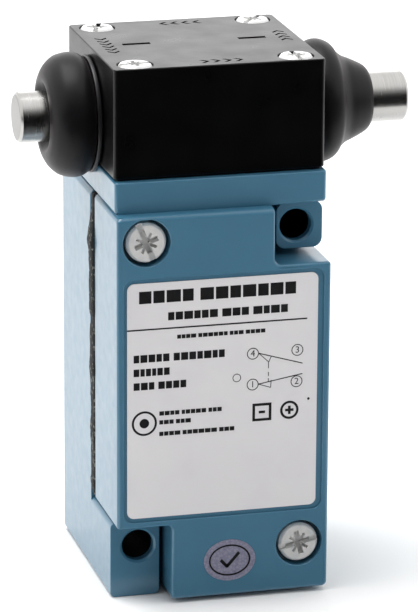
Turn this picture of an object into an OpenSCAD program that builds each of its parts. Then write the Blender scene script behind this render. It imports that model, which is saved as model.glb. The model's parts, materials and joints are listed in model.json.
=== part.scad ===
// Plug-in heavy-duty limit switch with two maintained side plungers.
// Frame: origin at the mouth of the conduit entry, +Z up, +X right, +Y towards the mounting face.

/* [Body] */
// Width of the base and of the switch housing
body_w = 40; // [39.5:0.5:41]
// Height of the flange's underside above the base's foot
body_h = 74.2; // [74:0.1:75]
// Depth of the base, from the mounting face to the gasket
base_d = 23.3; // [23:0.1:24]
// Thickness of the gasket between base and housing
gasket_t = 3; // [2.6:0.2:3.4]
// Depth of the switch housing in front of the gasket
housing_d = 18.2; // [18:0.1:19]
// Thickness of the flange that carries the head
flange_t = 5.8; // [5.4:0.1:6]
// Wall thickness of the castings
wall = 2.2; // [2:0.1:2.4]

/* [Mounting] */
// Mounting holes, spacing across
hole_dx = 29.5; // [29.3:0.1:29.7]
// Mounting holes, spacing up
hole_dz = 59.5; // [59.3:0.1:59.7]
// Radius of the mounting holes
hole_r = 2.7; // [2.6:0.05:2.8]
// Height of the lower mounting hole
hole_z = 9.8; // [9.6:0.1:10]
// Radius of the tapped holes in the back
tapped_r = 2.1; // [2:0.05:2.2]
// Depth of the tapped holes in the back
tapped_len = 10; // [8:0.5:10]
// Radius of the conduit entry's wall
conduit_r = 9.6; // [9.3:0.1:9.9]

/* [Head] */
// Width of the head
head_w = 39.2; // [39:0.1:39.4]
// Depth of the head
head_d = 37; // [36.6:0.2:37.4]
// Height of the head
head_h = 20.1; // [20:0.1:21]
// Spacing of the four head screws, which lie on a square
head_screw_pitch = 29.8; // [29.6:0.1:29.8]

/* [Plunger] */
// Radius of the two plungers
plunger_r = 4.65; // [4.5:0.05:4.7]
// Stroke of the push rod from one detent to the other
stroke = 6.2; // [6:0.1:6.2]
// Length of the push rod over both plungers
rod_len = 73.4; // [72:0.2:74]
// Fall of the cam ramp per millimetre of stroke
cam_slope = 0.42; // [0.4:0.01:0.42]
// Radius of the follower's roller
roller_r = 2.2; // [2.1:0.1:2.2]
// Radial running clearance of shafts in their bushes
run_gap = 0.03; // [0.02:0.01:0.06]

/* [Contacts] */
// Travel of the contact carrier per millimetre of stroke
carrier_ratio = 0.34; // [0.3:0.01:0.34]
// Thickness of the contact strips
strip_t = 0.8; // [0.6:0.1:0.8]

/* [Hidden] */
$fn = 64;
EPS = 0.01;

// Planes of the body, front to back; the conduit entry is in the middle of the base's depth
back_y = base_d / 2;
base_front_y = back_y - base_d;
housing_back_y = base_front_y - gasket_t;
housing_front_y = housing_back_y - housing_d;
boss_front_y = housing_front_y + 5.7;

// Planes of the head, bottom to top
half_w = body_w / 2;
flange_top = body_h + flange_t;
head_z = flange_top + 0.4;
head_top = head_z + head_h;
head_y = housing_front_y + 22.4;
side_x = head_w / 2;
rod_z = head_z + 7.75;

// Fastener axes
hole_x = hole_dx / 2;
hole_top_z = hole_z + hole_dz;
core_len = 14;
mouth_r = 3;
mouth_t = 0.4;
cover_screw_x = 14.5;
cover_screw_r = 2;
head_screw_r = 2;
head_screw_xy = head_screw_pitch / 2;

// Outlines shared by the housing, its gasket and the base
notch_right_x = 9.4;
notch_right_z = body_h - 10.6;
notch_left_x = -9.7;
notch_left_z = 15.2;
window_x = 16.6;
window_z = [18, 61.4];
floor_z = 15.5;

// Neck of the housing that guides the follower down into the switch block
neck_x = 7;
neck_y = [head_y - 6.9, head_y + 6.1];
neck_z = 60;
guide_z = 72;
clip_z = 70.5;

// Push rod: at rest it stands half a stroke to the right of the head's middle
rod_rest = stroke / 2;
cam_half = 8;
cam_top = head_z + 14.6;
cavity_x = cam_half + rod_rest + 0.2;
collar_len = 4;
collar_r = 8;
bush_r = 6.5;
spigot_r = 2.5;
spigot_len = 4.9;

// Follower: the roller's middle, and the cam line that touches it
ramp_angle = atan(cam_slope);
roller_z = head_z + 5.6;
stem_r = 2.5;
stem_bottom = 60.4;
cam_touch = roller_r / cos(ramp_angle) + 0.05;

// Receptacle in the base
term_y = back_y - 15.5;
step_y = term_y + 3.5;
term_back_y = back_y - 2.7;
term_z = [22, 50];
step_z = 30;
term_screw_x = [4.05, 12.25];
term_screw_z = 25.8;
receptacle_screw_z = [32.5, 47.3];
ground_x = -11;
ground_z = 56;

// Switch block
block_x = 13;
block_y = [housing_front_y + wall, term_y - 2];
block_z = [24, 57.5];
block_wall = 1.5;
cover_t = 1.6;
pillar = [6, 6.6];
block_screw_y = block_y[1] - 3;
block_screw_x = 10;
block_screw_z = [27.3, 54.2];
contact_x = 7.8;
strip_x = [6, 10.5];
nc_z = 35.2;
button_t = 0.9;
bridge_z = nc_z + strip_t + 2 * button_t + 0.05;
bridge_t = 0.7;
carrier_travel = stroke * carrier_ratio;
carrier_stem_r = 1.5;
no_z = bridge_z + bridge_t + 2 * button_t + carrier_travel + 0.1;

// ---------- helpers ----------

function arc(cr, cu, ar, au, a0, a1, n) =
  [for (i = [0:n]) let (a = a0 + (a1 - a0) * i / n) [cr + ar * cos(a), cu + au * sin(a)]];

// Box between two corners
module block(a, b) {
  translate(a) cube(b - a);
}

// Rectangle between two corners with round corners, from true arcs
module rounded(a, b, r) {
  translate([a.x + r, a.y]) square([b.x - a.x - 2 * r, b.y - a.y]);
  translate([a.x, a.y + r]) square([b.x - a.x, b.y - a.y - 2 * r]);
  for (x = [a.x + r, b.x - r], y = [a.y + r, b.y - r])
    translate([x, y]) circle(r);
}

// Extrudes an outline drawn in X and Z from one Y plane to another
module along_y(y0, y1) {
  translate([0, y1, 0]) rotate([90, 0, 0]) linear_extrude(y1 - y0) children();
}

// Cylinder along Y, given by its axis and its two ends
module rod_y(x, z, r, y0, y1) {
  translate([x, y1, z]) rotate([90, 0, 0]) cylinder(r = r, h = y1 - y0);
}

// Cylinder along X on the push rod's axis
module rod_x(r, x0, x1) {
  translate([x0, head_y, rod_z]) rotate([0, 90, 0]) cylinder(r = r, h = x1 - x0);
}

// Turns a profile of [radius, distance from the head's side] about the push rod's axis
module turned(side) {
  translate([side * side_x, head_y, rod_z]) rotate([0, side * 90, 0])
    rotate_extrude() children();
}

// Screw pointing down, its head's top at the origin, with a slot across a star-shaped cross recess
module screw(head_r, head_t, shank_r, len, turn) {
  slot = head_r * 0.15;
  rotate([0, 0, turn]) difference() {
    union() {
      translate([0, 0, -head_t]) cylinder(r = head_r, h = head_t * 0.8);
      translate([0, 0, -head_t * 0.2]) cylinder(r1 = head_r, r2 = head_r * 0.88, h = head_t * 0.2);
      translate([0, 0, -len]) cylinder(r = shank_r, h = len - head_t + EPS);
    }
    block([-head_r - 1, -slot, -head_t * 0.3], [head_r + 1, slot, 1]);
    for (a = [0, 90])
      rotate([0, 0, a])
        block([-head_r * 0.62, -slot * 0.9, -head_t * 0.7], [head_r * 0.62, slot * 0.9, 1]);
    for (a = [45, 135])
      rotate([0, 0, a])
        block([-head_r * 0.55, -slot * 0.5, -head_t * 0.45], [head_r * 0.55, slot * 0.5, 1]);
  }
}

// Screw driven from the front, its head's face at the given point
module front_screw(x, y, z, head_r, head_t, shank_r, len, turn) {
  translate([x, y, z]) rotate([90, 0, 0]) screw(head_r, head_t, shank_r, len, turn);
}

// Helical compression spring about Z, a wire of eight sides swept by a loop
module coil(mean_r, wire_r, z0, z1, turns) {
  sides = 8;
  steps = 14 * turns;
  rise = z1 - z0 - 2 * wire_r;
  points = [
    for (i = [0:steps], j = [0:sides - 1])
      let (t = 360 * turns * i / steps, s = 360 * j / sides, r = mean_r + wire_r * cos(s))
        [r * cos(t), r * sin(t), z0 + wire_r + rise * i / steps + wire_r * sin(s)]
  ];
  walls = [
    for (i = [0:steps - 1], j = [0:sides - 1])
      let (k = (j + 1) % sides, a = i * sides, b = a + sides)
        each [[a + j, a + k, b + k], [a + j, b + k, b + j]]
  ];
  ends = [[for (j = [0:sides - 1]) sides - 1 - j], [for (j = [0:sides - 1]) steps * sides + j]];
  polyhedron(points, concat(walls, ends));
}

// ---------- outlines ----------

// Front view of the switch housing: two opposite corners are cut away for the mounting bosses
module housing_outline() {
  difference() {
    rounded([-half_w, 0.8], [half_w, body_h], 1);
    rounded([notch_right_x, notch_right_z], [half_w + 5, body_h + 5], 1.2);
    rounded([-half_w - 5, -5], [notch_left_x, notch_left_z], 1);
  }
}

module upper_boss_outline() {
  rounded([hole_x - 3.7, hole_top_z - 4.4], [half_w - 0.2, hole_top_z + 4.4], 1.8);
}

module lower_boss_outline() {
  rounded([-half_w, 0], [notch_left_x - 1, hole_z + 4.7], 1);
}

// ---------- base ----------

module base_casting() {
  color("#4f7d95") difference() {
    union() {
      along_y(base_front_y, back_y) rounded([-half_w, 0], [half_w, body_h - 0.3], 1.2);
      along_y(boss_front_y, base_front_y + 2) upper_boss_outline();
      along_y(boss_front_y, base_front_y + 2) lower_boss_outline();
    }
    // wiring space behind the gasket window, and the seat of the housing's neck
    along_y(base_front_y - 1, term_back_y)
      rounded([-half_w + 2.8, floor_z], [half_w - 2.8, window_z[1] + 1.6], 2);
    block([-neck_x - 0.4, base_front_y - 1, window_z[1]], [neck_x + 0.4, neck_y[1] + 0.4, body_h + 1]);
    translate([0, 0, -1]) cylinder(r = conduit_r, h = floor_z + 2);
    // mounting holes right through, wider at the front by the draft of the die's core pin
    for (p = [[hole_x, hole_top_z], [-hole_x, hole_z]]) {
      rod_y(p.x, p.y, hole_r, boss_front_y - 1, back_y + 1);
      translate([p.x, boss_front_y + core_len, p.y]) rotate([90, 0, 0])
        cylinder(r1 = hole_r, r2 = mouth_r, h = core_len + EPS);
      translate([p.x, boss_front_y + mouth_t, p.y]) rotate([90, 0, 0])
        cylinder(r1 = mouth_r, r2 = mouth_r + mouth_t, h = mouth_t + EPS);
    }
    // cover screws from the front and tapped holes from the back share the other diagonal
    for (p = [[-1, hole_top_z], [1, hole_z]]) {
      rod_y(p.x * cover_screw_x, p.y, cover_screw_r + 0.05, base_front_y - 1, base_front_y + 11);
      rod_y(p.x * hole_x, p.y, tapped_r, back_y - tapped_len, back_y + 1);
    }
    // holes of the receptacle screws and of the ground screw
    for (z = receptacle_screw_z)
      rod_y(0, z, 1.25, term_back_y - 1, back_y - 1);
    rod_y(ground_x, ground_z, 1.55, term_back_y - 1, back_y - 0.8);
  }
}

// Moulded receptacle: pockets for four plug-in blades above a step with four wire terminals
module terminal_block() {
  color("#2b2d30") difference() {
    union() {
      block([-15.5, term_y, step_z], [15.5, term_back_y, term_z[1]]);
      block([-15.5, step_y, term_z[0]], [15.5, term_back_y, step_z + EPS]);
      for (x = [-8.15, 0, 8.15])
        block([x - 0.5, term_y - 1.1, term_z[0]], [x + 0.5, step_y + EPS, step_z - 1.2]);
    }
    for (z = [nc_z, no_z], s = [-1, 1])
      translate([s * (strip_x[0] + strip_x[1]) / 2, term_y - 1, z - 0.9])
        translate([-2.6, 0, 0]) cube([5.2, 8, strip_t + 1.8]);
    for (x = term_screw_x, s = [-1, 1])
      rod_y(s * x, term_screw_z, 1.55, step_y - 1, step_y + 6.5);
    for (z = receptacle_screw_z) {
      rod_y(0, z, 1.35, term_y - 1, term_back_y + 1);
      rod_y(0, z, 2.4, term_y - 1, term_y + 1.7);
    }
  }
}

// Brass socket: a slotted plate and two leaves that grip a blade, with a tail to its terminal
module socket(side, z, tail_x) {
  inner = side * strip_x[0];
  outer = side * strip_x[1];
  x0 = min(inner, outer, side * tail_x - 1.3);
  x1 = max(inner, outer, side * tail_x + 1.3);
  color("#c8a14a") difference() {
    union() {
      block([x0, term_y - 0.8, z - 2], [x1, term_y, z + strip_t + 2]);
      for (dz = [-0.65, strip_t + 0.05])
        block([min(inner, outer), term_y - EPS, z + dz], [max(inner, outer), term_y + 6.5, z + dz + 0.6]);
      block([side * tail_x - 1.3, term_y - 0.8, step_z - 0.8], [side * tail_x + 1.3, term_y, z]);
      block([side * tail_x - 1.3, term_y - 0.8, step_z - 0.8], [side * tail_x + 1.3, step_y, step_z]);
      block([side * tail_x - 2.6, step_y - 0.8, term_z[0] + 0.6], [side * tail_x + 2.6, step_y, step_z]);
    }
    block([min(inner, outer) - 0.1, term_y - 1, z - 0.05],
          [max(inner, outer) + 0.1, term_y + EPS, z + strip_t + 0.05]);
    rod_y(side * tail_x, term_screw_z, 1.55, step_y - 2, step_y + 1);
  }
}

module terminal_screws() {
  color("#c9ccd0")
    for (x = term_screw_x, s = [-1, 1])
      front_screw(s * x, step_y - 3.8, term_screw_z, 2.7, 2, 1.5, 9, 20 * x);
}

module wire_clamps() {
  color("#d8c27a")
    for (x = term_screw_x, s = [-1, 1])
      difference() {
        block([s * x - 2.9, step_y - 1.75, term_screw_z - 2.9],
              [s * x + 2.9, step_y - 0.85, term_screw_z + 2.9]);
        rod_y(s * x, term_screw_z, 1.6, step_y - 3, step_y);
      }
}

module receptacle_screws() {
  color("#c9ccd0")
    for (z = receptacle_screw_z)
      front_screw(0, term_y + 0.1, z, 2.2, 1.5, 1.2, 14, 30);
}

module ground_screw() {
  color("#3f8f4f") {
    front_screw(ground_x, term_back_y - 3, ground_z, 3, 2.1, 1.5, 4.6, 0);
    difference() {
      rod_y(ground_x, ground_z, 3.6, term_back_y - 0.9, term_back_y);
      rod_y(ground_x, ground_z, 1.6, term_back_y - 2, term_back_y + 1);
    }
  }
}

// ---------- gasket ----------

module housing_gasket() {
  color("#26282b") difference() {
    along_y(housing_back_y + 0.02, base_front_y - 0.02) difference() {
      rounded([-half_w + 0.35, 1.4], [half_w - 0.35, body_h - 0.4], 0.8);
      translate([-window_x, window_z[0]]) square([2 * window_x, window_z[1] - window_z[0]]);
      translate([hole_x - 4.5, notch_right_z]) square(20);
      translate([-half_w - 5, -5]) square([half_w + 5 + notch_left_x + 0.5, notch_left_z + 5]);
      translate([-neck_x - 0.4, window_z[1] - 1]) square([2 * neck_x + 0.8, 20]);
      for (p = [[-1, hole_top_z], [1, hole_z]])
        translate([p.x * cover_screw_x, p.y]) circle(2.4);
    }
  }
}

// ---------- switch housing ----------

module switch_housing() {
  color("#4f7d95") difference() {
    union() {
      // body with its top front edge rounded
      intersection() {
        along_y(housing_front_y, housing_back_y) housing_outline();
        translate([-half_w - 1, 0, 0]) rotate([90, 0, 90]) linear_extrude(body_w + 2)
          union() {
            translate([housing_front_y + 1, -1]) square([housing_d, body_h + 1]);
            translate([housing_front_y, -1]) square([housing_d, body_h]);
            translate([housing_front_y + 1, body_h - 1]) circle(1);
          }
      }
      // flange that carries the head, and the neck under it
      translate([0, 0, body_h]) linear_extrude(flange_t)
        rounded([-half_w + 0.3, housing_front_y + 2.7], [half_w - 0.3, back_y - 1], 0.8);
      block([-half_w + 1.5, housing_front_y + 4, body_h - 6],
            [notch_right_x - 2, housing_back_y - 1, body_h + 2]);
      block([-neck_x, neck_y[0], neck_z], [neck_x, neck_y[1], body_h + 1]);
    }
    // recess for the name plate
    along_y(housing_front_y - 1, housing_front_y + 0.45)
      rounded([-half_w + 1.2, 16.3], [half_w - 1.3, notch_right_z - 1], 1.9);
    // cavity for the switch block, and a pocket that keeps the walls even
    along_y(housing_front_y + wall, housing_back_y + 1)
      rounded([-half_w + wall, window_z[0] - 0.6], [half_w - wall, neck_z - 1], 2);
    along_y(housing_front_y + wall, housing_back_y + 1)
      rounded([notch_left_x + wall, 3], [8.6, window_z[0] - 2.8], 1.5);
    // cover screws in their counterbores
    for (p = [[-1, hole_top_z], [1, hole_z]]) {
      rod_y(p.x * cover_screw_x, p.y, 4.4, housing_front_y - 1, housing_front_y + 3.2);
      rod_y(p.x * cover_screw_x, p.y, cover_screw_r + 0.3, housing_front_y, housing_back_y + 1);
    }
    // follower: guide bush, spring chamber and the hole in its ledge
    translate([0, head_y, 0]) {
      translate([0, 0, guide_z]) cylinder(r = 4.5, h = 20);
      translate([0, 0, neck_z + 2]) cylinder(r = 4.2, h = 20);
      translate([0, 0, neck_z - 2]) cylinder(r = stem_r + 0.3, h = 20);
    }
    // tapped holes for the head screws
    for (x = [-1, 1], y = [-1, 1])
      translate([x * head_screw_xy, head_y + y * head_screw_xy, body_h + (y > 0 ? -1 : -4)])
        cylinder(r = head_screw_r + 0.05, h = 20);
    // tapped holes for the switch block's screws
    for (s = [0, 1])
      rod_y((1 - 2 * s) * block_screw_x, block_screw_z[s], 1.05, housing_front_y + 1.1, block_y[0] + 1);
  }
}

module cover_screws() {
  color("#c9ccd0")
    for (p = [[-1, hole_top_z, 112], [1, hole_z, 13]])
      front_screw(p.x * cover_screw_x, housing_front_y + 0.3, p.y, 3.7, 2.9, cover_screw_r, 29, p.z);
}

// The plate sits a little left of centre in its recess, as fitted
module name_plate() {
  color("#cfcfd3") along_y(housing_front_y + 0.27, housing_front_y + 0.45)
    rounded([-18.1, 17.1], [17.6, 61.8], 1.3);
}

// Oval sticker under the name plate
module round_sticker() {
  color("#b9b7c4") along_y(housing_front_y - 0.12, housing_front_y)
    polygon(arc(1.2, 7.65, 4.9, 4, 0, 354, 59));
}

// ---------- switch block ----------

// Clearance holes of the two screws that cross the block from corner to corner
module block_screw_holes() {
  for (s = [0, 1])
    rod_y((1 - 2 * s) * block_screw_x, block_screw_z[s], 1.25, block_y[0] - 1, block_y[1] + 1);
}

// Moulded case, open at the front; blades leave through slots in its back wall
module block_case() {
  color("#3a2c26") difference() {
    union() {
      difference() {
        block([-block_x, block_y[0] + cover_t, block_z[0]], [block_x, block_y[1], block_z[1]]);
        block([-block_x + block_wall, block_y[0], block_z[0] + block_wall],
              [block_x - block_wall, block_y[1] - block_wall, block_z[1] - block_wall]);
      }
      // corner pillars for the screws, and the guide of the contact carrier
      block([block_x - pillar.x, block_y[0] + cover_t, block_z[0]],
            [block_x, block_y[1], block_z[0] + pillar.y]);
      block([-block_x, block_y[0] + cover_t, block_z[1] - pillar.y],
            [-block_x + pillar.x, block_y[1], block_z[1]]);
      translate([0, head_y, block_z[0]]) cylinder(r = 3, h = 7);
    }
    translate([0, head_y, block_z[1] - 5]) cylinder(r = stem_r + 0.05, h = 10);
    translate([0, head_y, block_z[0] + block_wall]) cylinder(r = carrier_stem_r + 0.05, h = 10);
    for (z = [nc_z, no_z], s = [-1, 1])
      translate([s * (strip_x[0] + strip_x[1]) / 2, block_y[1] - 3, z + strip_t / 2])
        cube([strip_x[1] - strip_x[0] + 0.04, 8, strip_t + 0.04], center = true);
    block_screw_holes();
    for (s = [0, 1])
      rod_y((1 - 2 * s) * block_screw_x, block_screw_z[s], 2.2, block_screw_y - 1.4, block_y[1] + 1);
  }
}

module block_cover() {
  color("#4a3a32") difference() {
    block([-block_x, block_y[0], block_z[0]], [block_x, block_y[0] + cover_t - EPS, block_z[1]]);
    block_screw_holes();
  }
}

// Driven from the back, through the case and its cover into the housing's front wall
module block_screws() {
  len = block_screw_y - housing_front_y - 1.3;
  color("#c9ccd0")
    for (s = [0, 1])
      translate([(1 - 2 * s) * block_screw_x, block_screw_y, block_screw_z[s]])
        rotate([-90, 0, 0]) screw(2, 1.4, 1, len, 15 + 40 * s);
}

// Fixed contact: a flat strip whose back end is the plug-in blade, with a silver button
module fixed_contact(side, z, up) {
  x0 = side > 0 ? strip_x[0] : -strip_x[1];
  color("#c8a14a") {
    difference() {
      block([x0, head_y - 3.4, z], [x0 + strip_x[1] - strip_x[0], term_y + 5.9, z + strip_t]);
      for (s = [0, 1])
        translate([x0 + s * (strip_x[1] - strip_x[0]), term_y + 5.9, z - 1]) rotate([0, 0, 45])
          translate([-0.8, -0.8, 0]) cube([1.6, 1.6, 3]);
    }
    translate([side * contact_x, head_y, up ? z + strip_t - EPS : z - button_t])
      cylinder(r = 1.5, h = button_t + EPS);
  }
}

module switch_plunger() {
  color("#d9d4c4") translate([0, head_y, 0]) {
    translate([0, 0, 53]) cylinder(r = stem_r, h = stem_bottom - 0.05 - 53);
    block([-5.7, -2.8, 52], [5.7, 2.8, 54]);
    for (s = [-1, 1]) block([s * 5.15 - 0.55, -2.8, 44.6], [s * 5.15 + 0.55, 2.8, 53]);
  }
}

// Two bowed leaves between the plunger's legs and the carrier
module toggle_springs() {
  bow_r = 4.2;
  color("#d0b060")
    for (s = [-1, 1])
      translate([s * (2.75 - bow_r + 1.5), head_y + 1.5, 43.6]) rotate([90, 0, 0])
        intersection() {
          difference() {
            cylinder(r = bow_r, h = 3);
            translate([0, 0, -1]) cylinder(r = bow_r - 0.25, h = 5);
          }
          translate([s * bow_r, 0, 1.5]) cube([3, 5.4, 4], center = true);
        }
}

// Frame with a window for the bridge and its spring, on a stem that slides in the case
module contact_carrier() {
  color("#e3ded0") difference() {
    union() {
      block([-2.6, head_y - 2.8, 34.5], [2.6, head_y + 2.8, 47]);
      translate([0, head_y, 26.5]) cylinder(r = carrier_stem_r, h = 8.5);
    }
    block([-3, head_y - 2.15, bridge_z - 0.05], [3, head_y + 2.15, 44.5]);
  }
}

module contact_bridge() {
  color("#c98a4a") {
    block([-9.6, head_y - 2, bridge_z], [9.6, head_y + 2, bridge_z + bridge_t]);
    for (s = [-1, 1])
      translate([s * contact_x, head_y, bridge_z - button_t])
        cylinder(r = 1.5, h = 2 * button_t + bridge_t);
  }
}

module contact_spring() {
  color("#b8bcc2") translate([0, head_y, 0])
    coil(1.5, 0.22, bridge_z + bridge_t + 0.02, 44.48, 4);
}

// ---------- follower ----------

module guide_bush() {
  color("#b98a4e") translate([0, head_y, 0]) difference() {
    translate([0, 0, guide_z]) cylinder(r = 4.49, h = flange_top - guide_z - 1.8);
    translate([0, 0, guide_z - 1]) cylinder(r = stem_r + run_gap, h = 20);
  }
}

module stem_seal() {
  color("#1d1e20") translate([0, head_y, flange_top - 1.79]) difference() {
    cylinder(r = 4.49, h = 1.7);
    translate([0, 0, -1]) cylinder(r = stem_r + run_gap, h = 4);
    translate([0, 0, 0.6]) cylinder(r1 = stem_r + run_gap, r2 = 3.9, h = 1.2);
  }
}

module follower_spring() {
  color("#b8bcc2") translate([0, head_y, 0]) coil(3.4, 0.4, neck_z + 2.02, clip_z - 0.1, 5);
}

// Stem with a fork that carries the roller
module follower_stem() {
  color("#c4c7cb") translate([0, head_y, 0]) difference() {
    union() {
      translate([0, 0, stem_bottom]) cylinder(r = stem_r, h = roller_z - 2.9 - stem_bottom);
      block([-2.4, -3.8, roller_z - 3.2], [2.4, 3.8, roller_z - 2.4]);
      for (s = [-1, 1]) {
        block([-1.7, s * 3 - 0.8, roller_z - 2.6], [1.7, s * 3 + 0.8, roller_z]);
        translate([0, s * 3 + 0.8, roller_z]) rotate([90, 0, 0]) cylinder(r = 1.7, h = 1.6);
      }
    }
    translate([0, 5, roller_z]) rotate([90, 0, 0]) cylinder(r = 0.8, h = 10);
    translate([0, 0, clip_z]) difference() {
      cylinder(r = 3, h = 0.7);
      translate([0, 0, -1]) cylinder(r = 2.1, h = 3);
    }
  }
}

module stem_clip() {
  color("#8d9096") translate([0, head_y, clip_z + 0.02]) difference() {
    cylinder(r = 3.9, h = 0.66);
    translate([0, 0, -1]) cylinder(r = 2.12, h = 3);
    block([-2, -5, -1], [2, 0, 3]);
  }
}

module follower_roller() {
  color("#aeb2b8") translate([0, head_y, roller_z]) rotate([90, 0, 0]) difference() {
    cylinder(r = roller_r, h = 4, center = true);
    cylinder(r = 0.8 + run_gap, h = 5, center = true);
  }
}

module roller_pin() {
  color("#8d9096") translate([0, head_y, roller_z]) rotate([90, 0, 0])
    cylinder(r = 0.79, h = 7.6, center = true);
}

// ---------- head ----------

module head_gasket() {
  color("#1d1e20") translate([0, 0, flange_top + 0.01]) linear_extrude(0.38) difference() {
    rounded([-side_x + 0.5, head_y - head_d / 2 + 0.5], [side_x - 0.5, head_y + head_d / 2 - 0.5], 1);
    translate([0, head_y]) circle(5.2);
    for (x = [-1, 1], y = [-1, 1])
      translate([x * head_screw_xy, head_y + y * head_screw_xy]) circle(2.4);
  }
}

// Row of cast chevrons that follow one another along +Y
module chevrons(count) {
  for (i = [0:count - 1])
    translate([0, (i - (count - 1) / 2) * 2.1])
      polygon([[-1.1, -0.9], [0, 0.2], [1.1, -0.9], [1.1, -0.2], [0, 0.9], [-1.1, -0.2]]);
}

module head_casting() {
  color("#1b1b1d") difference() {
    union() {
      translate([0, 0, head_z]) linear_extrude(head_h)
        rounded([-side_x, head_y - head_d / 2], [side_x, head_y + head_d / 2], 0.9);
      for (s = [-1, 1]) turned(s) polygon([
        [0, -EPS], [collar_r, -EPS], [collar_r, collar_len - 0.5], [collar_r - 0.5, collar_len],
        [0, collar_len]
      ]);
    }
    // cam cavity, open below, and the bush bores
    block([-cavity_x, head_y - 8, head_z - 1], [cavity_x, head_y + 8, head_top - 3.2]);
    rod_x(bush_r, -side_x - collar_len - 1, side_x + collar_len + 1);
    // head screws
    for (x = [-1, 1], y = [-1, 1])
      translate([x * head_screw_xy, head_y + y * head_screw_xy, head_z - 1]) {
        cylinder(r = head_screw_r + 0.2, h = head_h + 2);
        translate([0, 0, head_h + 1 - 2.4]) cylinder(r = 3.3, h = 5);
      }
    // position dashes and push marks on the top
    translate([0, 0, head_top - 0.3]) linear_extrude(1) {
      for (s = [-1, 1]) translate([s * 10.9 - 2.6, head_y]) square([5.2, 1.3]);
      for (m = [[16.8, 1.2, 0, 4], [1, 15.3, 90, 4], [-16.3, 0.5, 180, 6], [1, -15.4, 270, 4]])
        translate([m.x, head_y + m.y]) rotate(m.z) chevrons(m[3]);
    }
    // holes of the detent rivets
    for (s = [-1, 1]) translate([s * 9.6, head_y, head_top - 4]) cylinder(r = 0.95, h = 2.4);
  }
}

module head_screws() {
  turns = [5, 92, 70, 50];
  color("#c9ccd0")
    for (i = [0:3])
      translate([(i % 2 * 2 - 1) * head_screw_xy,
                 head_y + (i < 2 ? -1 : 1) * head_screw_xy,
                 head_top + 0.2])
        screw(3.1, 2.4, head_screw_r, 25, turns[i]);
}

// Plain bearing in the head's side; its inner face stops the cam slider
module rod_bush(side) {
  x0 = side > 0 ? cavity_x : -side_x - collar_len + 0.6;
  x1 = side > 0 ? side_x + collar_len - 0.6 : -cavity_x;
  color("#b98a4e") difference() {
    rod_x(bush_r - EPS, x0, x1);
    rod_x(plunger_r + run_gap, x0 - 1, x1 + 1);
  }
}

// Hardened plunger with a chamfered nose, pressed on the cam slider's spigot
module plunger(side) {
  root = rod_rest + side * cam_half;
  tip = rod_rest + side * rod_len / 2;
  color("#c9cbce") difference() {
    union() {
      rod_x(plunger_r, min(root, tip - side * 0.5), max(root, tip - side * 0.5));
      translate([tip - side * 0.51, head_y, rod_z]) rotate([0, side * 90, 0])
        cylinder(r1 = plunger_r, r2 = plunger_r - 0.5, h = 0.51);
    }
    rod_x(spigot_r, root - 5, root + 5);
  }
}

// Slider with the ramp below and two detent grooves on top; its own middle is at x = 0
module cam_profile() {
  left_z = roller_z + cam_touch + 0.2 * cam_slope;
  right_z = left_z - 7.9 * cam_slope;
  heel = [-cam_half + 2.1, rod_z - 3.2];
  polygon([
    [-cam_half, cam_top], [-cam_half, heel.y], heel, [heel.x, left_z], [-rod_rest - 0.2, left_z],
    [-rod_rest + 7.7, right_z], [cam_half, right_z], [cam_half, cam_top]
  ]);
}

module cam_slider() {
  spigot = [cam_half - 0.5, cam_half + spigot_len];
  color("#9a9da2") translate([rod_rest, 0, 0]) difference() {
    union() {
      along_y(head_y - 5.5, head_y + 5.5) cam_profile();
      rod_x(spigot_r - EPS, spigot[0], spigot[1]);
      rod_x(spigot_r - EPS, -spigot[1], -spigot[0]);
    }
    for (s = [-1, 1]) rod_y(s * rod_rest, cam_top + 0.5, 1.35, head_y - 6, head_y + 6);
  }
}

// Leaf spring: its rounded nose sits in a groove of the slider
module detent_spring() {
  nose = cam_top + 0.5;
  top = head_top - 3.22;
  color("#b8bcc2") along_y(head_y - 2.5, head_y + 2.5) difference() {
    polygon(concat(
      [[-10.9, top], [-10.9, top - 0.45], [-8.2, top - 0.45]],
      [[-2.4, nose + 0.5]],
      arc(0, nose, 1.25, 1.25, 180, 360, 10),
      [[2.4, nose + 0.5], [8.2, top - 0.45], [10.9, top - 0.45], [10.9, top], [8.1, top]],
      [[2.3, nose + 0.95], [0.75, nose + 0.2]],
      arc(0, nose, 0.8, 0.8, 0, -180, 8),
      [[-0.75, nose + 0.2], [-2.3, nose + 0.95], [-8.1, top]]
    ));
    for (s = [-1, 1]) translate([s * 9.6 - 1, top - 1]) square([2, 2]);
  }
  color("#b8bcc2") difference() {
    for (s = [-1, 1])
      block([s * 9.6 - 1.1, head_y - 2.5, top - 0.45], [s * 9.6 + 1.1, head_y + 2.5, top]);
    for (s = [-1, 1]) translate([s * 9.6, head_y, top - 1]) cylinder(r = 0.95, h = 2);
  }
}

module detent_rivets() {
  color("#9a9da2")
    for (s = [-1, 1]) translate([s * 9.6, head_y, 0]) {
      translate([0, 0, head_top - 4.4]) cylinder(r = 1.6, h = 0.7);
      translate([0, 0, head_top - 4]) cylinder(r = 0.93, h = 2.3);
    }
}

// ---------- boots ----------

// Boot folded in on itself, as it is on the pushed side
module left_boot() {
  color("#2a2b2e") turned(-1) polygon(concat(
    [[collar_r + 0.05, 1.05], [10.2, 1.05], [10.4, 1.7]],
    arc(7, 3.8, 4.45, 5.2, 0, 90, 10),
    arc(7, 7.7, 1.3, 1.3, 100, 180, 4),
    [[5.4, 6.9], [plunger_r + 0.05, 6.6], [plunger_r + 0.05, 5.4], [6, 5.4], [6.9, 7]],
    arc(7, 3.8, 3.2, 3.8, 80, 0, 8),
    [[9.6, 2.8], [collar_r + 0.05, 2.6]]
  ));
}

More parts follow.
